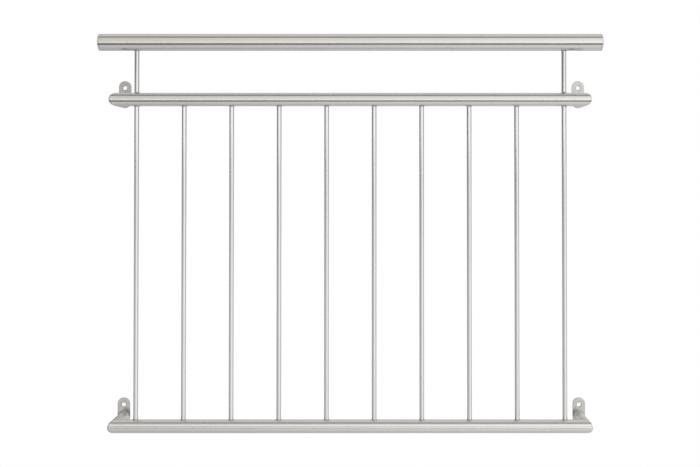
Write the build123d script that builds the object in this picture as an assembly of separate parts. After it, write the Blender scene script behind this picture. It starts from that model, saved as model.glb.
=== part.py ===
"""Juliet balcony railing of round stainless tube and bar, for the outside of a full-height window.

A capped handrail stands on two end posts, above a panel of upright bars held between two rails.
Each rail is mitred at both ends into a short return tube, which runs back to the wall and ends on a
wall plate with one fixing hole above the tube. The posts pass right through the upper rail.

Millimetres. X runs along the rails, Y runs into the wall and Z is up. The origin is on the wall, on the
back face of the lower left wall plate, where the axis of its return tube meets that face.
"""

import os

from build123d import *

# Tube and bar stock
HANDRAIL_DIAMETER = 42.4
HANDRAIL_WALL = 2.0
RAIL_DIAMETER = 33.7
RAIL_WALL = 2.0
BAR_DIAMETER = 12.0

# Layout, measured between axes
BAR_COUNT = 10  # the first and the last are the end posts
BAR_PITCH = 120.0
POST_INSET = 51.0  # from a return tube to the post beside it
RAIL_SPACING = 823.0  # from the lower rail to the upper rail
HANDRAIL_RISE = 145.0  # from the upper rail to the handrail
HANDRAIL_OVERHANG = 92.5  # from a post to the end of the handrail's tube
STANDOFF = 90.0  # from the wall to the rails, bars and handrail

# Bars in their drilled holes
DRILL_CLEARANCE = 0.15  # all round the bar
BAR_REACH = 5.0  # how far a bar's end stands inside the wall that it enters

# Wall plates
PLATE_SETBACK = 0.85  # how far a plate's sides stand inside its return tube's
PLATE_THICKNESS = 5.0
FIXING_HOLE_DIAMETER = 11.0
FIXING_HOLE_RISE = 36.0  # from the return tube's axis up to the hole
FIXING_HOLE_DROP = 2.0  # from the centre of the plate's round top down to the hole

# Handrail caps
CAP_RIM = 3.0  # straight part that continues the tube
CAP_DOME = 4.5  # height of the domed end over the rim
CAP_SPIGOT_LENGTH = 15.0
CAP_SPIGOT_WALL = 1.5
CAP_CLEARANCE = 0.1  # between the spigot and the tube's bore

# Places that follow from the sizes above
HANDRAIL_RADIUS = HANDRAIL_DIAMETER / 2
RAIL_RADIUS = RAIL_DIAMETER / 2
BAR_RADIUS = BAR_DIAMETER / 2
BAR_PLACES = [POST_INSET + number * BAR_PITCH for number in range(BAR_COUNT)]
POST_PLACES = {"left": BAR_PLACES[0], "right": BAR_PLACES[-1]}
RETURN_PLACES = {"left": 0.0, "right": BAR_PLACES[-1] + POST_INSET}
RAIL_LEVELS = {"lower": 0.0, "upper": RAIL_SPACING}
HANDRAIL_LEVEL = RAIL_SPACING + HANDRAIL_RISE
PANEL_Y = -STANDOFF

# Mitre planes in the rails' corners, with each normal on the rail's side of the cut
MITRES = {
    "left": Plane(origin=(RETURN_PLACES["left"], PANEL_Y, 0), z_dir=(1, -1, 0)),
    "right": Plane(origin=(RETURN_PLACES["right"], PANEL_Y, 0), z_dir=(-1, -1, 0)),
}


def tube(diameter, wall, length):
    """A length of round tube on the Z axis, with its lower end on the XY plane."""
    radius = diameter / 2
    return extrude(Circle(radius) - Circle(radius - wall), length)


def drilling(places, level, diameter, upwards):
    """Cutters for bar holes in one wall of a tube of that diameter, from its axis out past its surface."""
    end = Align.MIN if upwards else Align.MAX
    drill = Cylinder(BAR_RADIUS + DRILL_CLEARANCE, diameter, align=(Align.CENTER, Align.CENTER, end))
    return [Pos(place, PANEL_Y, level) * drill for place in places]


def rail(level, holes):
    """A rail from mitre to mitre, with the holes for its bars."""
    start = Plane(origin=(RETURN_PLACES["left"] - RAIL_RADIUS, PANEL_Y, level), z_dir=(1, 0, 0))
    body = start * tube(RAIL_DIAMETER, RAIL_WALL, RETURN_PLACES["right"] + RAIL_DIAMETER)
    for mitre in MITRES.values():
        body = split(body, bisect_by=mitre, keep=Keep.TOP)
    return body - holes


def return_tube(side, level):
    """A return from the wall plate's front face to the mitre at its rail."""
    start = Plane(origin=(RETURN_PLACES[side], -PLATE_THICKNESS, level), z_dir=(0, -1, 0))
    body = start * tube(RAIL_DIAMETER, RAIL_WALL, STANDOFF - PLATE_THICKNESS + RAIL_RADIUS)
    return split(body, bisect_by=MITRES[side], keep=Keep.BOTTOM)


def wall_plate(side, level):
    """A plate with two round ends, the lower one behind the return tube and the upper one round the hole."""
    width = RAIL_DIAMETER - 2 * PLATE_SETBACK
    rise = FIXING_HOLE_RISE + FIXING_HOLE_DROP
    outline = Pos(0, rise / 2) * Rot(0, 0, 90) * SlotCenterToCenter(rise, width)
    hole = Pos(0, FIXING_HOLE_RISE) * Circle(FIXING_HOLE_DIAMETER / 2)
    body = extrude(outline - hole, PLATE_THICKNESS)
    return Plane(origin=(RETURN_PLACES[side], 0, level), x_dir=(1, 0, 0), z_dir=(0, -1, 0)) * body


def bar(place, bottom, top):
    """A solid round bar between two heights."""
    body = Cylinder(BAR_RADIUS, top - bottom, align=(Align.CENTER, Align.CENTER, Align.MIN))
    return Pos(place, PANEL_Y, bottom) * body


def handrail():
    """The handrail's tube, with a hole under it for each post."""
    left_end = POST_PLACES["left"] - HANDRAIL_OVERHANG
    right_end = POST_PLACES["right"] + HANDRAIL_OVERHANG
    start = Plane(origin=(left_end, PANEL_Y, HANDRAIL_LEVEL), z_dir=(1, 0, 0))
    body = start * tube(HANDRAIL_DIAMETER, HANDRAIL_WALL, right_end - left_end)
    return body - drilling(POST_PLACES.values(), HANDRAIL_LEVEL, HANDRAIL_DIAMETER, upwards=False)


def handrail_cap(side):
    """A turned cap with a domed end, seated on the handrail's tube with its hollow spigot in the bore."""
    crown = CAP_RIM + CAP_DOME
    ball_radius = (HANDRAIL_RADIUS**2 + CAP_DOME**2) / (2 * CAP_DOME)
    ball = Pos(0, 0, crown - ball_radius) * Rot(90, 0, 0) * Sphere(ball_radius)  # its poles lie off the dome
    head = extrude(Circle(HANDRAIL_RADIUS), crown) & ball
    bore = HANDRAIL_DIAMETER - 2 * HANDRAIL_WALL
    spigot = tube(bore - 2 * CAP_CLEARANCE, CAP_SPIGOT_WALL, CAP_SPIGOT_LENGTH)
    body = head + Pos(0, 0, -CAP_SPIGOT_LENGTH) * spigot
    outwards = {"left": -1, "right": 1}[side]
    tube_end = POST_PLACES[side] + outwards * HANDRAIL_OVERHANG
    return Plane(origin=(tube_end, PANEL_Y, HANDRAIL_LEVEL), z_dir=(outwards, 0, 0)) * body


def bar_end(radius, wall):
    """How far from a tube's axis a bar's end stands, once it is in the tube."""
    return radius - wall - BAR_REACH


def railing():
    """Every piece of the railing by name."""
    lower, upper = RAIL_LEVELS["lower"], RAIL_LEVELS["upper"]
    lower_holes = drilling(BAR_PLACES, lower, RAIL_DIAMETER, upwards=True)
    upper_holes = drilling(BAR_PLACES, upper, RAIL_DIAMETER, upwards=False)
    upper_holes += drilling(POST_PLACES.values(), upper, RAIL_DIAMETER, upwards=True)
    pieces = {
        "lower_rail": rail(lower, lower_holes),
        "upper_rail": rail(upper, upper_holes),
        "handrail": handrail(),
    }
    foot = lower + bar_end(RAIL_RADIUS, RAIL_WALL)
    bar_head = upper - bar_end(RAIL_RADIUS, RAIL_WALL)
    post_head = HANDRAIL_LEVEL - bar_end(HANDRAIL_RADIUS, HANDRAIL_WALL)
    for number, place in enumerate(BAR_PLACES[1:-1], start=1):
        pieces[f"bar_{number}"] = bar(place, foot, bar_head)
    for side, place in POST_PLACES.items():
        pieces[f"{side}_post"] = bar(place, foot, post_head)
        pieces[f"handrail_{side}_cap"] = handrail_cap(side)
        for name, level in RAIL_LEVELS.items():
            pieces[f"{name}_{side}_return"] = return_tube(side, level)
            pieces[f"{name}_{side}_wall_plate"] = wall_plate(side, level)
    return pieces


os.makedirs("parts", exist_ok=True)
for piece_name, piece in railing().items():
    export_step(piece, f"parts/{piece_name}.step")
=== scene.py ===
"""Looks of a juliet balcony railing: ground stainless tube, satin bar, wall plates, welds and a plain studio.

The file is laid out as an add-on and run as a script. Lengths are in metres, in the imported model's frame:
X runs along the rails, Y runs into the wall and Z is up.
"""

import math

import bmesh
import bpy
from bpy.props import FloatProperty, FloatVectorProperty, PointerProperty
from bpy.types import Operator, Panel, PropertyGroup
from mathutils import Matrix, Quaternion, Vector


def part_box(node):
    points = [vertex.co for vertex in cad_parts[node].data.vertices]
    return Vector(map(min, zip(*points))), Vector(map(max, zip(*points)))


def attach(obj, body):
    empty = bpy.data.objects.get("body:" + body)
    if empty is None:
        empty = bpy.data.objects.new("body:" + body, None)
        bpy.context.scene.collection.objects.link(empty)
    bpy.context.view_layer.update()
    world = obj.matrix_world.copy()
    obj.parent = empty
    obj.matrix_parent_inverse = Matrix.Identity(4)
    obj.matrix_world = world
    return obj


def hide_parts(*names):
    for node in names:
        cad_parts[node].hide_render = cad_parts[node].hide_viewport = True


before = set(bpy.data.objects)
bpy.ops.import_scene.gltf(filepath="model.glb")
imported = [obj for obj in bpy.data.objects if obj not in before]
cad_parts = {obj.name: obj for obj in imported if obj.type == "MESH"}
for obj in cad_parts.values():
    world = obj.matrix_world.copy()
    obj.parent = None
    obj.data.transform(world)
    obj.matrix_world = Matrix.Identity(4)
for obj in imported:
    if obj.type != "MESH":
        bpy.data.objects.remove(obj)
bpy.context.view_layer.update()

bl_info = {
    "name": "Juliet Balcony Railing",
    "version": (1, 0, 0),
    "blender": (4, 5, 0),
    "location": "View3D > Sidebar > Railing",
    "description": "Models the railing's tubes, bars, plates and welds, and the studio round it",
    "category": "Add Mesh",
}

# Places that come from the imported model


def middle_of(node):
    """The centre of a node's box."""
    low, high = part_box(node)
    return (low + high) / 2


def extent_of(node):
    """The side lengths of a node's box."""
    low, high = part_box(node)
    return high - low


SIDES = {"left": -1, "right": 1}
LEVELS = ("lower", "upper")
BARS = sorted(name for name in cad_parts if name.startswith("bar_"))
POSTS = [f"{side}_post" for side in SIDES]
PANEL_Y = middle_of("handrail").y
HANDRAIL_Z = middle_of("handrail").z
RAIL_Z = {level: middle_of(f"{level}_left_return").z for level in LEVELS}
RETURN_X = {side: middle_of(f"lower_{side}_return").x for side in SIDES}
HANDRAIL_RADIUS = extent_of("handrail").z / 2
RAIL_RADIUS = extent_of("lower_left_return").z / 2
CENTRE_X = (RETURN_X["left"] + RETURN_X["right"]) / 2
HALF_WIDTH = (RETURN_X["right"] - RETURN_X["left"]) / 2
LEVEL_STEP = RAIL_Z["upper"] - RAIL_Z["lower"]

# Fineness of the round pieces
TUBE_SEGMENTS = 96
BAR_SEGMENTS = 48
PLATE_SEGMENTS = 96
WELD_STEPS = 48
DOME_STEPS = 12
SMOOTH_ANGLE = math.radians(15)
WELD_SMOOTH_ANGLE = math.radians(60)

# Distances under which two points are merged, or count as being in one place
MERGE_DISTANCE = 1e-6
NEAR = 1e-5

# How many times the rounding of a bar's end edges goes into its diameter
BAR_EDGE_PARTS = 14

# A cap's spigot, as its clearance in the handrail's bore and its wall
SPIGOT_CLEARANCE = 0.0001
SPIGOT_WALL = 0.0015

# A bar weld's outline, as legs out from the bar's side and up from the crown of the tube under it
BAR_WELD_OUTLINE = (
    (-0.3, 0.9),
    (0.02, 0.9),
    (0.14, 0.55),
    (0.4, 0.2),
    (0.75, 0.0),
    (1.05, -0.3),
    (1.3, -0.8),
    (1.4, -1.6),
    (-0.3, -1.6),
)

# A return weld's outline, as legs out from the plate's face and out from the tube's side
RETURN_WELD_OUTLINE = (
    (-1 / 3, -1 / 3),
    (-1 / 3, 1.0),
    (0.25, 0.85),
    (0.85, 0.25),
    (1.0, -1 / 3),
)

# How far a return's weld runs down each side from the top of the tube
WELD_REACH = math.radians(50)

# The camera, fitted to the photo's 700 x 467 frame
CAMERA_PLACE = (0.675, -2.772, 0.634)
CAMERA_PITCH = math.radians(0.9758)
CAMERA_LENS = 54.6
CAMERA_SHIFT = (-0.0481, -0.1105)

# The floor, with the distances beside and before the railing between which it fades out
FLOOR_SEGMENTS = 128
FLOOR_RADIUS = 2.4
FLOOR_FADE_BESIDE = (1.2, 1.9)
FLOOR_FADE_BEFORE = (1.32, 1.90)

# The card, the lamp and the world's light on matt things
CARD_PLACE = (CENTRE_X + 0.5, PANEL_Y - 1.65, 0.87)
CARD_SIZE = (6.0, 0.2)
CARD_STRENGTH = 1.42
LAMP_PLACE = (2.3, -2.8, 2.6)
LAMP_SIZE = (2.0, 2.4)
WORLD_STRENGTH = 0.88

# The light tent, with its tones at the back, overhead and in the dark gaps as shares of its strength
TENT_SEGMENTS = 64
TENT_RINGS = 32
TENT_CENTRE_Z = 0.5
TENT_STRENGTH = 1.3
TENT_BACK_TONE = 0.44
TENT_TOP_TONE = 0.57
TENT_GAP_TONE = 0.11

# The light tent's tones from its left over its front to its right, as places and shares of its strength
TENT_STOPS = (
    (0.0, 0.31),
    (0.05, 0.35),
    (0.125, 0.51),
    (0.25, 0.645),
    (0.39, 0.70),
    (0.48, 0.79),
    (0.57, 0.87),
    (0.65, 0.94),
    (0.775, 1.0),
    (0.875, 0.94),
    (0.92, 0.87),
    (0.955, 0.61),
    (0.985, 0.50),
    (1.0, 0.43),
)


class RailingSizes(PropertyGroup):
    """Sizes of the railing's stock, caps, plates and welds."""

    handrail_diameter: FloatProperty(
        name="Handrail diameter",
        description="Outside diameter of the handrail's tube",
        default=extent_of("handrail").z,
        min=0.02,
        unit="LENGTH",
    )
    rail_diameter: FloatProperty(
        name="Rail diameter",
        description="Outside diameter of the rails and their returns to the wall",
        default=extent_of("lower_left_return").z,
        min=0.02,
        unit="LENGTH",
    )
    bar_diameter: FloatProperty(
        name="Bar diameter",
        description="Diameter of the upright bars and the end posts",
        default=extent_of("bar_1").x,
        min=0.006,
        unit="LENGTH",
    )
    tube_wall: FloatProperty(
        name="Tube wall",
        description="Wall thickness of the handrail, the rails and the returns",
        default=0.002,
        min=0.001,
        unit="LENGTH",
    )
    cap_rim: FloatProperty(
        name="Cap rim",
        description="Length of an end cap's straight rim, which carries on the handrail's tube",
        default=0.003,
        min=0.001,
        unit="LENGTH",
    )
    cap_groove: FloatProperty(
        name="Cap groove",
        description="Broken edge on each side of the joint between the handrail and its end cap",
        default=0.0005,
        min=0.0001,
        unit="LENGTH",
    )
    hole_diameter: FloatProperty(
        name="Fixing hole diameter",
        description="Diameter of the hole in each wall plate",
        default=0.011,
        min=0.004,
        unit="LENGTH",
    )
    hole_rise: FloatProperty(
        name="Fixing hole rise",
        description="Height of a fixing hole's centre over the axis of the return under it",
        default=0.036,
        min=0.02,
        unit="LENGTH",
    )
    plate_edge: FloatProperty(
        name="Plate edge",
        description="Rounding of the deburred edges of the wall plates",
        default=0.0006,
        min=0.0001,
        unit="LENGTH",
    )
    bar_weld: FloatProperty(
        name="Bar weld",
        description="Leg of the fillet weld round a bar's foot or head",
        default=0.0020,
        min=0.0005,
        unit="LENGTH",
    )
    return_weld: FloatProperty(
        name="Return weld",
        description="Leg of the fillet weld between a return and its wall plate",
        default=0.0028,
        min=0.0002,
        unit="LENGTH",
    )


class RailingFinish(PropertyGroup):
    """Colours and gloss of the railing's steel."""

    tube_colour: FloatVectorProperty(
        name="Tube colour",
        description="Colour of the ground rails and returns",
        subtype="COLOR",
        default=(0.75, 0.733, 0.708),
        min=0.0,
        max=1.0,
    )
    handrail_colour: FloatVectorProperty(
        name="Handrail colour",
        description="Colour of the ground handrail and its end caps",
        subtype="COLOR",
        default=(0.76, 0.743, 0.722),
        min=0.0,
        max=1.0,
    )
    # Colour of the painted warm reflection of overhead light on the handrail's upper front side
    handrail_reflection_colour: FloatVectorProperty(
        name="Handrail warm colour",
        description="Colour of the handrail's upper front side, which is warmer",
        subtype="COLOR",
        default=(0.775, 0.712, 0.632),
        min=0.0,
        max=1.0,
    )
    bar_colour: FloatVectorProperty(
        name="Bar colour",
        description="Colour of the satin bars and posts",
        subtype="COLOR",
        default=(0.728, 0.728, 0.720),
        min=0.0,
        max=1.0,
    )
    plate_colour: FloatVectorProperty(
        name="Plate colour",
        description="Colour of the cut wall plates",
        subtype="COLOR",
        default=(0.50, 0.49, 0.475),
        min=0.0,
        max=1.0,
    )
    # Partly the beads' own grey and partly painted shade: darkened so that the bar welds read as the shaded
    # toes at the bars' feet and heads
    weld_colour: FloatVectorProperty(
        name="Weld colour",
        description="Colour of the cleaned weld beads",
        subtype="COLOR",
        default=(0.52, 0.51, 0.495),
        min=0.0,
        max=1.0,
    )
    return_weld_colour: FloatVectorProperty(
        name="Return weld colour",
        description="Colour of the ground weld beads on the wall plates",
        subtype="COLOR",
        default=(0.62, 0.609, 0.592),
        min=0.0,
        max=1.0,
    )
    tube_roughness: FloatProperty(
        name="Tube roughness",
        description="Roughness of the ground tubes",
        subtype="FACTOR",
        default=0.19,
        min=0.0,
        max=1.0,
    )
    bar_roughness: FloatProperty(
        name="Bar roughness",
        description="Roughness of the satin bars and posts",
        subtype="FACTOR",
        default=0.22,
        min=0.0,
        max=1.0,
    )
    plate_roughness: FloatProperty(
        name="Plate roughness",
        description="Roughness of the wall plates",
        subtype="FACTOR",
        default=0.36,
        min=0.0,
        max=1.0,
    )


class RailingStage(PropertyGroup):
    """The studio's floor, tent and lamp."""

    floor_drop: FloatProperty(
        name="Floor drop",
        description="Height of the lower rail over the floor",
        default=0.6,
        min=0.1,
        unit="LENGTH",
    )
    floor_colour: FloatVectorProperty(
        name="Floor colour",
        description="Colour of the pale floor under the railing",
        subtype="COLOR",
        default=(0.905, 0.900, 0.897),
        min=0.0,
        max=1.0,
    )
    tent_radius: FloatProperty(
        name="Tent radius",
        description="Radius of the round light tent that the steel reflects",
        default=60.0,
        min=20.0,
        unit="LENGTH",
    )
    lamp_power: FloatProperty(
        name="Lamp power",
        description="Power of the soft lamp at the front right",
        default=6.0,
        min=0.0,
        unit="POWER",
    )


# Node sheets


class Term:
    """One value on a node sheet. Python's operators on it add the Math nodes."""

    def __init__(self, sheet, socket):
        self.sheet = sheet
        self.socket = socket

    def calculate(self, operation, *values):
        """A Math node on the given values."""
        return self.sheet.add("ShaderNodeMath", {"operation": operation}, dict(enumerate(values)))

    def __add__(self, other):
        return self.calculate("ADD", self, other)

    def __sub__(self, other):
        return self.calculate("SUBTRACT", self, other)

    def __rsub__(self, other):
        return self.calculate("SUBTRACT", other, self)

    def __mul__(self, other):
        return self.calculate("MULTIPLY", self, other)

    def __truediv__(self, other):
        return self.calculate("DIVIDE", self, other)

    def __pow__(self, power):
        return self.calculate("POWER", self, power)

    def __abs__(self):
        return self.calculate("ABSOLUTE", self)

    __radd__ = __add__
    __rmul__ = __mul__

    def ease(self, low, high):
        """Rises smoothly from 0 to 1 as the value goes from low to high."""
        limits = {"Value": self, "From Min": low, "From Max": high}
        return self.sheet.add("ShaderNodeMapRange", {"interpolation_type": "SMOOTHSTEP"}, limits)

    def towards(self, other, share):
        """The value between this one and another at that share of the way."""
        return self + (other - self) * share


class NodeSheet:
    """The nodes of one material or of the world."""

    def __init__(self, owner):
        owner.use_nodes = True
        self.tree = owner.node_tree
        self.tree.nodes.clear()

    def add(self, kind, settings=None, values=None, output=0):
        """Adds a node with its settings and its sockets' values or links, and returns one of its outputs."""
        node = self.tree.nodes.new(kind)
        for name, setting in (settings or {}).items():
            if name == "stops":
                self.set_stops(node.color_ramp, setting)
            else:
                setattr(node, name, setting)
        for name, value in (values or {}).items():
            self.feed(node.inputs[name], value)
        return Term(self, node.outputs[output]) if node.outputs else None

    def feed(self, socket, value):
        """Links a term to a socket, or sets the socket's own value."""
        if isinstance(value, Term):
            self.tree.links.new(value.socket, socket)
        else:
            socket.default_value = value

    def set_stops(self, ramp, stops):
        """Gives a ramp its grey stops, as pairs of place and tone."""
        while len(ramp.elements) < len(stops):
            ramp.elements.new(1.0)
        for element, (place, tone) in zip(ramp.elements, stops):
            element.position = place
            element.color = (tone, tone, tone, 1.0)

    def mix(self, share, first, second):
        """A colour between two colours."""
        return self.add("ShaderNodeMix", {"data_type": "RGBA"}, {0: share, 6: first, 7: second}, output=2)

    def split(self, vector):
        """The three numbers of a vector."""
        return [self.add("ShaderNodeSeparateXYZ", values={0: vector}, output=axis) for axis in range(3)]

    def noise(self, place, settings):
        """A noise pattern at a place."""
        return self.add("ShaderNodeTexNoise", values={"Vector": place, **settings})

    def end(self, shader):
        """Makes a shader the material's surface."""
        self.add("ShaderNodeOutputMaterial", values={"Surface": shader})

    def end_as_metal(self, tone, gloss, height, strength, depth):
        """Makes the surface bare metal with that tone, gloss and relief."""
        bump = {"Strength": strength, "Distance": depth, "Height": height}
        relief = self.add("ShaderNodeBump", values=bump)
        metal = {"Base Color": tone, "Metallic": 1.0, "Roughness": gloss, "Normal": relief}
        self.end(self.add("ShaderNodeBsdfPrincipled", values=metal))


# Finishes


BLACK = (0.0, 0.0, 0.0, 1.0)
WHITE = (1.0, 1.0, 1.0, 1.0)

# Tool marks per metre along X, Y and Z
ROUND_X_TUBE = (1700.0, 28.0, 28.0)
ROUND_Y_TUBE = (28.0, 1700.0, 28.0)
ALONG_Z = (1500.0, 1500.0, 9.0)

# Noise of the tool marks and the cloudy tone, and of a weld bead's ripples and tint
TOOL_MARKS = {"Scale": 1.0, "Detail": 3.0, "Roughness": 0.65}
CLOUDS = {"Scale": 13.0, "Detail": 4.0, "Roughness": 0.6}
RIPPLES = {"Scale": 900.0, "Detail": 2.0}
TINT = {"Scale": 90.0, "Detail": 2.0}

# Depth of the tool marks and the ripples
GROUND_DEPTH = 0.000004
SATIN_DEPTH = 0.000003
RIPPLE_DEPTH = 0.00012

# Distances from a mitre between which its painted shade band ends, and its painted highlight line starts and
# ends
MITRE_SHADE_END = (0.002, 0.0045)
MITRE_HIGHLIGHT_START = (0.003, 0.0045)
MITRE_HIGHLIGHT_END = (0.0048, 0.0065)

# Distances behind the rails between which the returns get painted light, and then become scrubbed
RETURN_LIGHT_RISE = (0.018, 0.035)
RETURN_SCRUBBED = (0.055, 0.075)

# Shares of the handrail's radius between which its painted warm reflection starts and ends
WARM_REFLECTION_START = (0.05, 0.35)
WARM_REFLECTION_END = (0.75, 0.95)

# On a plate: the change from its outer to its inner side, the end of the dark ring round the hole, the widths
# of the painted shade by the weld on both sides, and a length that no plate reaches below its return's axis
PLATE_INNER = (-0.014, 0.012)
HOLE_RING_END = (0.0008, 0.0035)
WELD_SHADE_OUTER = 0.003
WELD_SHADE_INNER = 0.016
PLATE_DROP = 0.1


def shaded(colour, factor):
    """A colour made darker or lighter, with its alpha."""
    return tuple(min(1.0, channel * factor) for channel in colour) + (1.0,)


def rightwards(x):
    """Rises smoothly from 0 on the railing's left to 1 on its right."""
    return (x - CENTRE_X).ease(-0.3, 0.3)


def start_material(name):
    """A new material, its empty sheet and the place on the piece."""
    material = bpy.data.materials.new(name)
    sheet = NodeSheet(material)
    return material, sheet, sheet.add("ShaderNodeTexCoord", output="Object")


def steel(name, colour, roughness, grain, depth=GROUND_DEPTH, detail=None):
    """Stainless steel with fine tool marks. Grain gives the marks per metre along X, Y and Z.

    A detail is a function that takes the sheet, the place on the piece, the tone and the gloss, and gives
    back the tone and the gloss with that detail in them.
    """
    material, sheet, place = start_material(name)
    stretched = sheet.add("ShaderNodeMapping", values={"Vector": place, "Scale": grain})
    marks = sheet.noise(stretched, TOOL_MARKS)
    clouds = sheet.noise(place, CLOUDS)
    share = marks * 0.45 + clouds * 0.55
    gloss = roughness + (marks - 0.5) * 0.08 + (clouds - 0.5) * 0.03
    tone = sheet.mix(share, shaded(colour, 0.93), shaded(colour, 1.06))
    if detail:
        tone, gloss = detail(sheet, place, tone, gloss)
    sheet.end_as_metal(tone, gloss, marks, strength=0.5, depth=depth)
    return material


def painted_corner_light(colour):
    """Detail of the rails and returns: painted shade along each mitre with a painted highlight line beside
    it, and painted light on the returns, which turn matt further back.
    """

    def detail(sheet, place, tone, gloss):
        x, y, _ = sheet.split(place)
        right = rightwards(x)
        behind = y - PANEL_Y
        from_mitre = abs(HALF_WIDTH - abs(x - CENTRE_X) - behind) / math.sqrt(2)
        # Painted shade along each mitre and a painted highlight line beside it, both strongest on the left
        strength = 1 - right * 0.7
        ground = (1 - from_mitre.ease(*MITRE_SHADE_END)) * strength
        mitre_highlight = from_mitre.ease(*MITRE_HIGHLIGHT_START) * (1 - from_mitre.ease(*MITRE_HIGHLIGHT_END)) * strength
        # Painted light on the returns, strongest on the right; further back they are scrubbed rougher
        painted_return_light = behind.ease(*RETURN_LIGHT_RISE) * (right * 0.6 + 0.3)
        scrubbed = behind.ease(*RETURN_SCRUBBED)
        tone = sheet.mix(painted_return_light, tone, shaded(colour, 1.25))
        tone = sheet.mix(ground * 0.6, tone, shaded(colour, 0.66))
        tone = sheet.mix(mitre_highlight * 0.7, tone, shaded(colour, 1.2))
        return tone, gloss + ground * 0.06 + scrubbed * 0.3

    return detail


def painted_warm_reflection(warm):
    """Detail of the handrail and its caps: a painted warm reflection of overhead light on the upper side,
    most of all on the left.
    """

    def detail(sheet, place, tone, gloss):
        x, _, z = sheet.split(place)
        lift = (z - HANDRAIL_Z) / HANDRAIL_RADIUS
        side = lift.ease(*WARM_REFLECTION_START) * (1 - lift.ease(*WARM_REFLECTION_END))
        share = side * (1 - (x - CENTRE_X).ease(-0.4, 0.4) * 0.45)
        return sheet.mix(share, tone, shaded(warm, 1.0)), gloss

    return detail


def painted_plate_light(colour, sizes):
    """Detail of the wall plates: painted light on the lower plates and the upper right one, painted shade by
    the weld, and a dark ring round the hole.
    """

    def detail(sheet, place, tone, gloss):
        x, _, z = sheet.split(place)
        inward = HALF_WIDTH - abs(x - CENTRE_X)
        over_lower = z - RAIL_Z["lower"]
        lift = z.calculate("MODULO", over_lower + PLATE_DROP, LEVEL_STEP) - PLATE_DROP
        from_weld = (inward**2 + lift**2) ** 0.5 - RAIL_RADIUS - sizes.return_weld
        from_hole = (inward**2 + (lift - sizes.hole_rise) ** 2) ** 0.5 - sizes.hole_diameter / 2
        inner = inward.ease(*PLATE_INNER)
        right = rightwards(x)
        upper = (over_lower - LEVEL_STEP / 2).ease(-0.2, 0.2)
        ring = 1 - from_hole.ease(*HOLE_RING_END)
        # Painted shade by the weld, wider and darker on the plates' inner sides and mostly on the lower
        # plates
        weld_shade_width = inner * (WELD_SHADE_INNER - WELD_SHADE_OUTER) + WELD_SHADE_OUTER
        painted_weld_shade = (1 - (from_weld / weld_shade_width).ease(0.0, 1.0)) * (1 - upper * 0.85)
        painted_weld_shade = painted_weld_shade * (inner * (right * 0.2 + 0.7) + 0.3 - right * 0.2)
        # Painted light on the lower plates, most on the left, and on the upper right plate
        painted_light = (1 - upper) * (0.36 - right * 0.14) + upper * right * 0.28
        tone = sheet.mix(painted_light, tone, shaded(colour, 1.9))
        tone = sheet.mix(painted_weld_shade * 0.85, tone, shaded(colour, 0.4))
        tone = sheet.mix(ring * 0.35, tone, shaded(colour, 0.55))
        return tone, gloss

    return detail


def weld_steel(name, colour, roughness):
    """Steel of a cleaned weld bead, with fine ripples and a faint change of tone."""
    material, sheet, place = start_material(name)
    ripples = sheet.noise(place, RIPPLES)
    tint = sheet.noise(place, TINT)
    tone = sheet.mix(tint, shaded(colour, 0.88), shaded(colour, 1.08))
    gloss = roughness + ripples * 0.16
    sheet.end_as_metal(tone, gloss, ripples, strength=0.6, depth=RIPPLE_DEPTH)
    return material


# Modelling by hand


def deselect_all():
    """Leaves edit mode and empties the selection, so that the next operator acts on its own piece only."""
    if bpy.context.object is not None and bpy.context.object.mode != "OBJECT":
        bpy.ops.object.mode_set(mode="OBJECT")
    bpy.ops.object.select_all(action="DESELECT")


def select_only(*pieces):
    """Selects these pieces alone and makes the first one active."""
    deselect_all()
    for piece in pieces:
        piece.select_set(True)
    bpy.context.view_layer.objects.active = pieces[0]


def settle(name):
    """Names the active object and puts its place into its mesh."""
    piece = bpy.context.object
    piece.name = name
    piece.data.name = name
    bpy.ops.object.transform_apply(location=True, rotation=True, scale=True)
    return piece


def turn_to(facing):
    """The rotation of a circle that faces along a direction."""
    return Vector(facing).to_track_quat("Z", "Y").to_euler()


def start_ring(name, radius, place, facing, segments):
    """Adds a circle that faces along a direction and leaves it selected in edit mode."""
    deselect_all()
    turn = turn_to(facing)
    bpy.ops.mesh.primitive_circle_add(vertices=segments, radius=radius, location=place, rotation=turn)
    piece = settle(name)
    bpy.ops.object.mode_set(mode="EDIT")
    bpy.ops.mesh.select_all(action="SELECT")
    return piece


def start_point(name, place):
    """Adds a plane merged to one vertex and leaves it selected in edit mode."""
    deselect_all()
    bpy.ops.mesh.primitive_plane_add(size=0.01, location=place)
    piece = settle(name)
    bpy.ops.object.mode_set(mode="EDIT")
    bpy.ops.mesh.select_mode(type="VERT")
    bpy.ops.mesh.select_all(action="SELECT")
    bpy.ops.mesh.merge(type="CENTER")
    return piece


def extrude(run):
    """Extrudes what is selected by a vector."""
    bpy.ops.mesh.extrude_region_move(TRANSFORM_OT_translate={"value": run})


def pick(piece, test):
    """Selects only the edges whose two ends pass a test on their place."""
    bpy.ops.mesh.select_mode(type="EDGE")
    bpy.ops.mesh.select_all(action="DESELECT")
    mesh = bmesh.from_edit_mesh(piece.data)
    for edge in mesh.edges:
        edge.select_set(all(test(vertex.co) for vertex in edge.verts))
    bmesh.update_edit_mesh(piece.data)


def face_outwards():
    """Merges doubles and turns every face outwards."""
    bpy.ops.mesh.select_all(action="SELECT")
    bpy.ops.mesh.remove_doubles(threshold=MERGE_DISTANCE)
    bpy.ops.mesh.normals_make_consistent(inside=False)


def apply_modifier(piece, kind, **settings):
    """Adds a modifier to the piece, sets it and applies it."""
    bpy.ops.object.mode_set(mode="OBJECT")
    bpy.ops.object.modifier_add(type=kind)
    modifier = piece.modifiers[-1]
    for name, value in settings.items():
        setattr(modifier, name, value)
    bpy.ops.object.modifier_apply(modifier=modifier.name)


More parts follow.
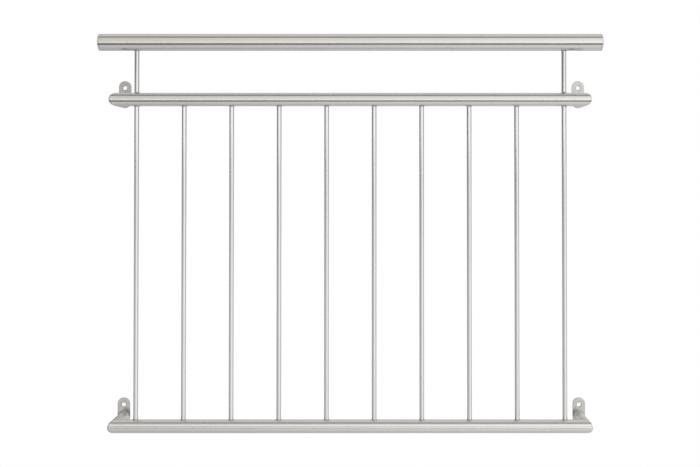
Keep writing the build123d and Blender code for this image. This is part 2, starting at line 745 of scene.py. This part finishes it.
def draw_tube(name, diameter, wall, start, end):
    """A length of round tube between two points on its axis, with square ends."""
    run = Vector(end) - Vector(start)
    piece = start_ring(name, diameter / 2, start, run, TUBE_SEGMENTS)
    extrude(run)
    face_outwards()
    apply_modifier(piece, "SOLIDIFY", thickness=wall, offset=-1.0, use_even_offset=True)
    return piece


def mitre(place, normal):
    """Cuts the active tube on a plane, drops the normal's side and closes the cut wall."""
    bpy.ops.object.mode_set(mode="EDIT")
    bpy.ops.mesh.select_all(action="SELECT")
    bpy.ops.mesh.bisect(plane_co=place, plane_no=normal, clear_outer=True)
    bpy.ops.mesh.bridge_edge_loops()
    bpy.ops.object.mode_set(mode="OBJECT")


def turn_on_lathe(name, profile, axis, closed=False, steps=TUBE_SEGMENTS, angle=2 * math.pi):
    """Turns a profile of points round an axis, given as a point and a direction, once or by an angle."""
    piece = start_point(name, profile[0])
    for here, following in zip(profile, profile[1:]):
        extrude(following - here)
    if closed:
        ends = (profile[0], profile[-1])
        bpy.ops.mesh.select_all(action="DESELECT")
        mesh = bmesh.from_edit_mesh(piece.data)
        for vertex in mesh.verts:
            vertex.select_set(any((vertex.co - end).length < NEAR for end in ends))
        bmesh.update_edit_mesh(piece.data)
        bpy.ops.mesh.edge_face_add()
    bpy.ops.mesh.select_all(action="SELECT")
    bpy.ops.mesh.spin(steps=steps, angle=angle, center=axis[0], axis=axis[1])
    if angle < 2 * math.pi:
        bpy.ops.mesh.select_all(action="SELECT")
        bpy.ops.mesh.fill_holes(sides=0)
    face_outwards()
    bpy.ops.object.mode_set(mode="OBJECT")
    return piece


def copy_to(piece, name, shift):
    """A copy of a piece with its own mesh, moved and applied."""
    select_only(piece)
    bpy.ops.object.duplicate(linked=False)
    bpy.ops.transform.translate(value=shift)
    return settle(name)


def repeat(first, names, places):
    """The first piece with its copies, which are moved from the first place to the others."""
    return [first] + [copy_to(first, name, place - places[0]) for name, place in zip(names[1:], places[1:])]


def join_as(pieces, name):
    """Joins pieces into the first and renames it."""
    select_only(*pieces)
    bpy.ops.object.join()
    return settle(name)


def check_closed(piece):
    """Stops the script where a piece's mesh is empty or open."""
    mesh = bmesh.new()
    mesh.from_mesh(piece.data)
    closed = len(mesh.faces) > 0 and all(edge.is_manifold for edge in mesh.edges)
    mesh.free()
    if not closed:
        raise RuntimeError(f"The mesh of {piece.name} is not closed")


def dress(piece, material, slot, *nodes, smooth=SMOOTH_ANGLE):
    """Smooths a finished piece, gives it its steel and sets it on the railing."""
    check_closed(piece)
    select_only(piece)
    bpy.ops.object.shade_smooth_by_angle(angle=smooth)
    piece.data.materials.append(material)
    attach(piece, "root")
    if nodes:
        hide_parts(*nodes)


# Pieces


class RAILING_OT_rails(Operator):
    """Models the two rails and the four returns, mitred into each other in the corners"""

    bl_idname = "railing.rails"
    bl_label = "Rails and returns"

    def execute(self, context):
        sizes = context.scene.railing_sizes
        finish = context.scene.railing_finish
        colour, roughness = finish.tube_colour, finish.tube_roughness
        # The rails and returns get painted shade and highlights at their mitres and painted light on the
        # returns
        corners = painted_corner_light(colour)
        rail_steel = steel("rail_ground_steel", colour, roughness, ROUND_X_TUBE, detail=corners)
        return_steel = steel("return_ground_steel", colour, roughness, ROUND_Y_TUBE, detail=corners)
        for level in LEVELS:
            dress(self.rail(level, sizes), rail_steel, "rail_steel", f"{level}_rail")
            for side in SIDES:
                node = f"{level}_{side}_return"
                dress(self.return_tube(node, level, side, sizes), return_steel, "rail_steel", node)
        return {"FINISHED"}

    def rail(self, level, sizes):
        """A tube from mitre to mitre."""
        left = (RETURN_X["left"] - sizes.rail_diameter, PANEL_Y, RAIL_Z[level])
        right = (RETURN_X["right"] + sizes.rail_diameter, PANEL_Y, RAIL_Z[level])
        piece = draw_tube(f"{level}_rail_tube", sizes.rail_diameter, sizes.tube_wall, left, right)
        for side, outwards in SIDES.items():
            mitre((RETURN_X[side], PANEL_Y, RAIL_Z[level]), (outwards, 1, 0))
        return piece

    def return_tube(self, node, level, side, sizes):
        """A tube from the wall plate's front face to the mitre."""
        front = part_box(f"{level}_{side}_wall_plate")[0].y
        start = (RETURN_X[side], front, RAIL_Z[level])
        end = (RETURN_X[side], PANEL_Y - sizes.rail_diameter, RAIL_Z[level])
        piece = draw_tube(f"{node}_tube", sizes.rail_diameter, sizes.tube_wall, start, end)
        mitre((RETURN_X[side], PANEL_Y, RAIL_Z[level]), (-SIDES[side], -1, 0))
        return piece


class RAILING_OT_handrail(Operator):
    """Models the handrail's tube and its two domed end caps"""

    bl_idname = "railing.handrail"
    bl_label = "Handrail and caps"

    def execute(self, context):
        sizes = context.scene.railing_sizes
        finish = context.scene.railing_finish
        colour, roughness = finish.handrail_colour, finish.tube_roughness
        # The handrail and its caps get a painted warm reflection on their upper side
        warm = painted_warm_reflection(finish.handrail_reflection_colour)
        tube_steel = steel("handrail_ground_steel", colour, roughness, ROUND_X_TUBE, detail=warm)
        cap_steel = steel("cap_turned_steel", colour, roughness, ROUND_X_TUBE, detail=warm)
        dress(self.tube(sizes), tube_steel, "handrail_steel", "handrail")
        for side in SIDES:
            dress(self.cap(side, sizes), cap_steel, "handrail_steel", f"handrail_{side}_cap")
        return {"FINISHED"}

    def tube(self, sizes):
        """The handrail's tube, with its outer edges broken where the caps sit."""
        low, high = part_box("handrail")
        start, end = (low.x, PANEL_Y, HANDRAIL_Z), (high.x, PANEL_Y, HANDRAIL_Z)
        piece = draw_tube("handrail_tube", sizes.handrail_diameter, sizes.tube_wall, start, end)
        radius = sizes.handrail_diameter / 2
        bpy.ops.object.mode_set(mode="EDIT")
        pick(piece, lambda place: math.hypot(place.y - PANEL_Y, place.z - HANDRAIL_Z) > radius - NEAR
             and min(abs(place.x - low.x), abs(place.x - high.x)) < NEAR)
        bpy.ops.mesh.bevel(offset=sizes.cap_groove, segments=2)
        bpy.ops.object.mode_set(mode="OBJECT")
        return piece

    def cap(self, side, sizes):
        """A turned cap: crown, dome, rim, broken edge at the joint, and the spigot in the tube's bore."""
        outwards = SIDES[side]
        tube_ends, cap_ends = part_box("handrail"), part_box(f"handrail_{side}_cap")
        inner, outer = (1, 0) if outwards < 0 else (0, 1)
        joint, crown, spigot = tube_ends[outer].x, cap_ends[outer].x, cap_ends[inner].x
        radius = sizes.handrail_diameter / 2
        spigot_radius = radius - sizes.tube_wall - SPIGOT_CLEARANCE
        spigot_bore = spigot_radius - SPIGOT_WALL
        spigot_end = -abs(spigot - joint)
        height = abs(crown - joint)
        dome = height - sizes.cap_rim
        ball = (radius**2 + dome**2) / (2 * dome)
        outline = []
        for step in range(DOME_STEPS + 1):
            away = radius * step / DOME_STEPS
            outline.append((height - ball + math.sqrt(ball**2 - away**2), away))
        outline += [
            (sizes.cap_groove, radius),
            (0.0, radius - sizes.cap_groove),
            (0.0, spigot_radius),
            (spigot_end, spigot_radius),
            (spigot_end, spigot_bore),
            (0.0, spigot_bore),
            (0.0, 0.0),
        ]
        profile = [Vector((joint + outwards * along, PANEL_Y, HANDRAIL_Z + away)) for along, away in outline]
        axis = ((joint, PANEL_Y, HANDRAIL_Z), (1, 0, 0))
        return turn_on_lathe(f"handrail_{side}_end_cap", profile, axis)


class RAILING_OT_bars(Operator):
    """Models one upright bar and one end post, and copies them to their places"""

    bl_idname = "railing.bars"
    bl_label = "Bars and posts"

    def execute(self, context):
        sizes = context.scene.railing_sizes
        finish = context.scene.railing_finish
        satin = steel("bar_satin_steel", finish.bar_colour, finish.bar_roughness, ALONG_Z, SATIN_DEPTH)
        for nodes in (BARS, POSTS):
            names = [f"{node}_rod" for node in nodes]
            rods = repeat(self.rod(nodes[0], sizes), names, [middle_of(node) for node in nodes])
            for node, rod in zip(nodes, rods):
                dress(rod, satin, "bar_steel", node)
        return {"FINISHED"}

    def rod(self, node, sizes):
        """A round bar over a node's height, with its end edges broken."""
        low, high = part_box(node)
        foot = (middle_of(node).x, PANEL_Y, low.z)
        piece = start_ring(f"{node}_rod", sizes.bar_diameter / 2, foot, (0, 0, 1), BAR_SEGMENTS)
        extrude((0, 0, high.z - low.z))
        bpy.ops.mesh.select_all(action="SELECT")
        bpy.ops.mesh.fill_holes(sides=0)
        face_outwards()
        for level in (low.z, high.z):
            pick(piece, lambda place: abs(place.z - level) < NEAR)
            bpy.ops.mesh.bevel(offset=sizes.bar_diameter / BAR_EDGE_PARTS, segments=2)
        bpy.ops.object.mode_set(mode="OBJECT")
        return piece


class RAILING_OT_plates(Operator):
    """Models one wall plate with its fixing hole and copies it to the four corners"""

    bl_idname = "railing.plates"
    bl_label = "Wall plates"

    def execute(self, context):
        sizes = context.scene.railing_sizes
        finish = context.scene.railing_finish
        # The plates get painted light and painted shade by the weld
        marks = painted_plate_light(finish.plate_colour, sizes)
        cut = steel("plate_cut_steel", finish.plate_colour, finish.plate_roughness, ALONG_Z, detail=marks)
        corners = [(level, side) for level in LEVELS for side in SIDES]
        nodes = [f"{level}_{side}_wall_plate" for level, side in corners]
        names = [f"{level}_{side}_plate" for level, side in corners]
        first = self.plate(*corners[0], sizes)
        plates = repeat(first, names, [middle_of(node) for node in nodes])
        for node, plate in zip(nodes, plates):
            dress(plate, cut, "plate_steel", node)
        return {"FINISHED"}

    def plate(self, level, side, sizes):
        """A round plate stretched upwards, with a hole in its upper end and rounded edges."""
        low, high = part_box(f"{level}_{side}_wall_plate")
        radius = (high.x - low.x) / 2
        rise = high.z - low.z - 2 * radius
        centre = Vector((RETURN_X[side], (low.y + high.y) / 2, RAIL_Z[level]))
        hole = centre + Vector((0, 0, sizes.hole_rise))
        facing = (0, -1, 0)
        piece = start_ring(f"{level}_{side}_plate", radius, centre, facing, PLATE_SEGMENTS)
        pick(piece, lambda place: place.z > centre.z + NEAR)
        bpy.ops.transform.translate(value=(0, 0, rise))
        bpy.ops.mesh.primitive_circle_add(
            vertices=PLATE_SEGMENTS,
            radius=sizes.hole_diameter / 2,
            location=hole,
            rotation=turn_to(facing),
        )
        bpy.ops.mesh.select_all(action="SELECT")
        bpy.ops.mesh.bridge_edge_loops()
        face_outwards()
        apply_modifier(piece, "SOLIDIFY", thickness=high.y - low.y, offset=0.0)
        apply_modifier(piece, "BEVEL", width=sizes.plate_edge, segments=3, limit_method="ANGLE")
        return piece


class RAILING_OT_welds(Operator):
    """Models one weld bead of each kind and copies it to every joint"""

    bl_idname = "railing.welds"
    bl_label = "Welds"

    def execute(self, context):
        sizes = context.scene.railing_sizes
        finish = context.scene.railing_finish
        bead = weld_steel("bar_weld_steel", finish.weld_colour, roughness=0.30)
        seam = weld_steel("return_weld_steel", finish.return_weld_colour, roughness=0.50)
        rods = POSTS[:1] + BARS + POSTS[1:]
        rail = sizes.rail_diameter / 2
        handrail = sizes.handrail_diameter / 2
        joints = (
            ("lower_rail_bar_welds", rods, RAIL_Z["lower"], rail, 1, "rail_steel"),
            ("upper_rail_bar_welds", rods, RAIL_Z["upper"], rail, -1, "rail_steel"),
            ("upper_rail_post_welds", POSTS, RAIL_Z["upper"], rail, 1, "rail_steel"),
            ("handrail_post_welds", POSTS, HANDRAIL_Z, handrail, -1, "handrail_steel"),
        )
        for name, welded, axis_z, radius, upwards, slot in joints:
            welds = self.bar_welds(name, welded, axis_z + upwards * radius, upwards, sizes)
            dress(welds, bead, slot, smooth=WELD_SMOOTH_ANGLE)
        for level in LEVELS:
            rings = [self.return_weld(level, side, sizes) for side in SIDES]
            dress(join_as(rings, f"{level}_return_welds"), seam, "plate_steel", smooth=WELD_SMOOTH_ANGLE)
        return {"FINISHED"}

    def bar_welds(self, name, rods, crown, upwards, sizes):
        """The beads where rods meet the top or the underside of a tube, as one piece."""
        names = [f"{name}_{rod}" for rod in rods]
        places = [Vector((middle_of(rod).x, PANEL_Y, crown)) for rod in rods]
        return join_as(repeat(self.collar(names[0], places[0], upwards, sizes), names, places), name)

    def collar(self, name, place, upwards, sizes):
        """A fillet turned round a bar, from its side down into the wall of the tube that it stands on."""
        bar = sizes.bar_diameter / 2
        leg = sizes.bar_weld
        profile = [
            place + Vector((bar + out * leg, 0, upwards * up * leg))
            for out, up in BAR_WELD_OUTLINE
        ]
        return turn_on_lathe(name, profile, (place, (0, 0, 1)), closed=True, steps=BAR_SEGMENTS)

    def return_weld(self, level, side, sizes):
        """A fillet over the top of a return's end, on the front face of its plate."""
        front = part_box(f"{level}_{side}_wall_plate")[0].y
        leg = sizes.return_weld
        centre = Vector((RETURN_X[side], front, RAIL_Z[level]))
        start = Quaternion((0, 1, 0), WELD_REACH)
        profile = [
            centre + start @ Vector((0, -out * leg, RAIL_RADIUS + away * leg))
            for out, away in RETURN_WELD_OUTLINE
        ]
        name, axis = f"{level}_{side}_return_weld", (centre, (0, 1, 0))
        return turn_on_lathe(name, profile, axis, closed=True, steps=WELD_STEPS, angle=2 * WELD_REACH)


# Studio


class RAILING_OT_stage(Operator):
    """Sets the camera, the pale floor, the light tent, the bright card, the lamp and the world's light"""

    bl_idname = "railing.stage"
    bl_label = "Studio"

    def execute(self, context):
        stage = context.scene.railing_stage
        context.scene.view_settings.view_transform = "Standard"
        self.camera(context)
        self.floor(stage)
        self.tent(stage)
        self.card()
        self.lamp(stage)
        self.world(context)
        return {"FINISHED"}

    def camera(self, context):
        """The camera at the photo's place, with the photo's lens and framing."""
        bpy.ops.object.camera_add(location=CAMERA_PLACE, rotation=(math.pi / 2 + CAMERA_PITCH, 0, 0))
        camera = context.object
        camera.data.sensor_fit = "HORIZONTAL"
        camera.data.lens = CAMERA_LENS
        camera.data.shift_x, camera.data.shift_y = CAMERA_SHIFT
        context.scene.camera = camera

    def floor(self, stage):
        """A pale disc that keeps the railing's shadow and fades out into the white round it. In reflections
        it has a painted shadow under the railing.
        """
        deselect_all()
        centre = (CENTRE_X, PANEL_Y, RAIL_Z["lower"] - stage.floor_drop)
        bpy.ops.mesh.primitive_circle_add(
            vertices=FLOOR_SEGMENTS, radius=FLOOR_RADIUS, fill_type="NGON", location=centre)
        disc = settle("floor")
        material, sheet, place = start_material("pale_floor")
        x, y, _ = sheet.split(place)
        beside = abs(x - CENTRE_X).ease(*FLOOR_FADE_BESIDE)
        before = abs(y - PANEL_Y).ease(*FLOOR_FADE_BEFORE)
        faded = 1 - (1 - beside) * (1 - before)

        # Reflections see the floor darker than the camera does: painted shade on the left and a painted
        # shadow under the railing
        under = 1 - abs(y - 0.1).ease(0.1, 0.65)
        level = ((x - CENTRE_X).ease(-1.2, 0.6) * 0.16 + 0.84) * (1 - under * 0.21)
        level = level.towards(1.0, sheet.add("ShaderNodeLightPath", output="Is Camera Ray"))
        colour = sheet.mix(level, BLACK, shaded(stage.floor_colour, 1.0))
        matt = sheet.add("ShaderNodeBsdfDiffuse", values={"Color": colour})
        clear = sheet.add("ShaderNodeBsdfTransparent")
        sheet.end(sheet.add("ShaderNodeMixShader", values={0: faded, 1: matt, 2: clear}))
        disc.data.materials.append(material)

    def tent(self, stage):
        """A round tent that only reflections see, darker on the left than on the right."""
        deselect_all()
        centre = Vector((CENTRE_X, PANEL_Y, TENT_CENTRE_Z))
        bpy.ops.mesh.primitive_uv_sphere_add(
            segments=TENT_SEGMENTS, ring_count=TENT_RINGS, radius=stage.tent_radius, location=centre)
        tent = settle("light_tent")
        material, sheet, place = start_material("tent_cloth")
        size = 1 / stage.tent_radius
        to_unit = {"Vector": place, "Location": -centre * size, "Scale": (size, size, size)}
        x, y, z = sheet.split(sheet.add("ShaderNodeMapping", values=to_unit))
        colour = sheet.mix(self.tent_tone(sheet, x, y, z), BLACK, WHITE)
        tent.data.materials.append(material)
        self.glow_in_reflections(tent, sheet, colour, TENT_STRENGTH)

    def tent_tone(self, sheet, x, y, z):
        """The tent's tone in a direction from the middle of the railing, as a share of its full strength."""
        low = 1 - abs(z + 0.05).ease(0.12, 0.28)
        over_horizon = z.ease(-0.06, 0.02)

        # The front, darker towards the top, and low down on the left of the middle
        front = sheet.add("ShaderNodeValToRGB", {"stops": TENT_STOPS}, {0: x * 0.5 + 0.5})
        front = front * (1 - z.ease(-0.05, 0.55) * 0.17)
        left_of_middle = x.ease(-0.95, -0.6) * (1 - x.ease(-0.05, 0.4))
        front = front * (1 - low * left_of_middle * (over_horizon * 0.18 + 0.11))

        # The back, and the two ends, which darken over the horizon, most of all on the left
        back = TENT_BACK_TONE + x * 0.12 + z.ease(0.2, 0.7) * 0.08
        around = front.towards(back, y.ease(-0.1, 0.3))
        around = around + (0.06 - z.ease(-0.15, 0.12) * 0.18) * abs(x).ease(0.5, 0.9)
        around = around - z.ease(-0.02, 0.06) * (0 - x).ease(0.45, 0.85) * 0.07
        left = x.ease(-0.9, -0.65) * (1 - x.ease(-0.36, -0.12))
        around = around - left * low * over_horizon * 0.19

        # The top, the dark gap across it and the dark edge round the floor
        around = around.towards(TENT_TOP_TONE, z.ease(0.80, 0.94))
        lean = x * 0.8 + abs(x) * 0.4
        overhead_gap = (z + lean * 0.12).ease(0.815, 0.855) * (1 - (y + lean * 0.15).ease(-0.235, -0.185))
        floor_edge = 1 - z.ease(-0.325, -0.275)
        dark = x.ease(-0.3, 0.0) * 0.09 + TENT_GAP_TONE
        return around.towards(dark, overhead_gap + floor_edge)

    def card(self):
        """A bright upright card in front of the railing, which only reflections see."""
        deselect_all()
        bpy.ops.mesh.primitive_plane_add(size=1.0, location=CARD_PLACE, rotation=(math.pi / 2, 0, 0))
        bpy.context.object.scale = (*CARD_SIZE, 1.0)
        card = settle("front_card")
        material = bpy.data.materials.new("front_card")
        card.data.materials.append(material)
        self.glow_in_reflections(card, NodeSheet(material), WHITE, CARD_STRENGTH)

    def glow_in_reflections(self, thing, sheet, colour, strength):
        """Makes a stage thing glow where gloss reflects it. The camera and matt things don't see it."""
        sheet.end(sheet.add("ShaderNodeEmission", values={"Color": colour, "Strength": strength}))
        thing.visible_camera = False
        thing.visible_diffuse = False
        thing.visible_shadow = False

    def lamp(self, stage):
        """One large soft lamp at the front right, which lights the floor."""
        aim = Vector((CENTRE_X, PANEL_Y, 0.0)) - Vector(LAMP_PLACE)
        turn = aim.to_track_quat("-Z", "Y").to_euler()
        bpy.ops.object.light_add(type="AREA", location=LAMP_PLACE, rotation=turn)
        lamp = bpy.context.object
        lamp.data.shape = "RECTANGLE"
        lamp.data.size, lamp.data.size_y = LAMP_SIZE
        lamp.data.energy = stage.lamp_power
        lamp.visible_camera = False
        lamp.visible_glossy = False

    def world(self, context):
        """White behind the railing and in clear or glossy things, and a softer level for matt ones."""
        world = bpy.data.worlds.new("studio")
        context.scene.world = world
        sheet = NodeSheet(world)
        camera, glossy, clear = (
            sheet.add("ShaderNodeLightPath", output=name)
            for name in ("Is Camera Ray", "Is Glossy Ray", "Is Transmission Ray")
        )
        soft = sheet.add("ShaderNodeBackground", values={"Color": WHITE, "Strength": WORLD_STRENGTH})
        white = sheet.add("ShaderNodeBackground", values={"Color": WHITE, "Strength": 1.0})
        seen = sheet.add("ShaderNodeMath", {"use_clamp": True}, {0: camera + glossy, 1: clear})
        surface = sheet.add("ShaderNodeMixShader", values={0: seen, 1: soft, 2: white})
        sheet.add("ShaderNodeOutputWorld", values={"Surface": surface})


class RAILING_PT_panel(Panel):
    """The railing's sizes, finish and steps"""

    bl_idname = "RAILING_PT_panel"
    bl_label = "Juliet Balcony Railing"
    bl_space_type = "VIEW_3D"
    bl_region_type = "UI"
    bl_category = "Railing"

    def draw(self, context):
        for step in STEPS:
            self.layout.operator(step.bl_idname)
        for group in (getattr(context.scene, name) for name in GROUPS):
            box = self.layout.box()
            for name in group.__annotations__:
                box.prop(group, name)


GROUPS = {"railing_sizes": RailingSizes, "railing_finish": RailingFinish, "railing_stage": RailingStage}
STEPS = (
    RAILING_OT_rails,
    RAILING_OT_handrail,
    RAILING_OT_bars,
    RAILING_OT_plates,
    RAILING_OT_welds,
    RAILING_OT_stage,
)
CLASSES = (*GROUPS.values(), *STEPS, RAILING_PT_panel)


def register():
    """Registers the classes and gives the scene its groups of settings."""
    for kind in CLASSES:
        bpy.utils.register_class(kind)
    for name, group in GROUPS.items():
        setattr(bpy.types.Scene, name, PointerProperty(type=group))


def unregister():
    """Takes back what register did."""
    for name in GROUPS:
        delattr(bpy.types.Scene, name)
    for kind in reversed(CLASSES):
        bpy.utils.unregister_class(kind)


def main():
    """Makes the pieces and the studio."""
    register()
    bpy.ops.railing.rails()
    bpy.ops.railing.handrail()
    bpy.ops.railing.bars()
    bpy.ops.railing.plates()
    bpy.ops.railing.welds()
    bpy.ops.railing.stage()


if __name__ == "__main__":
    main()
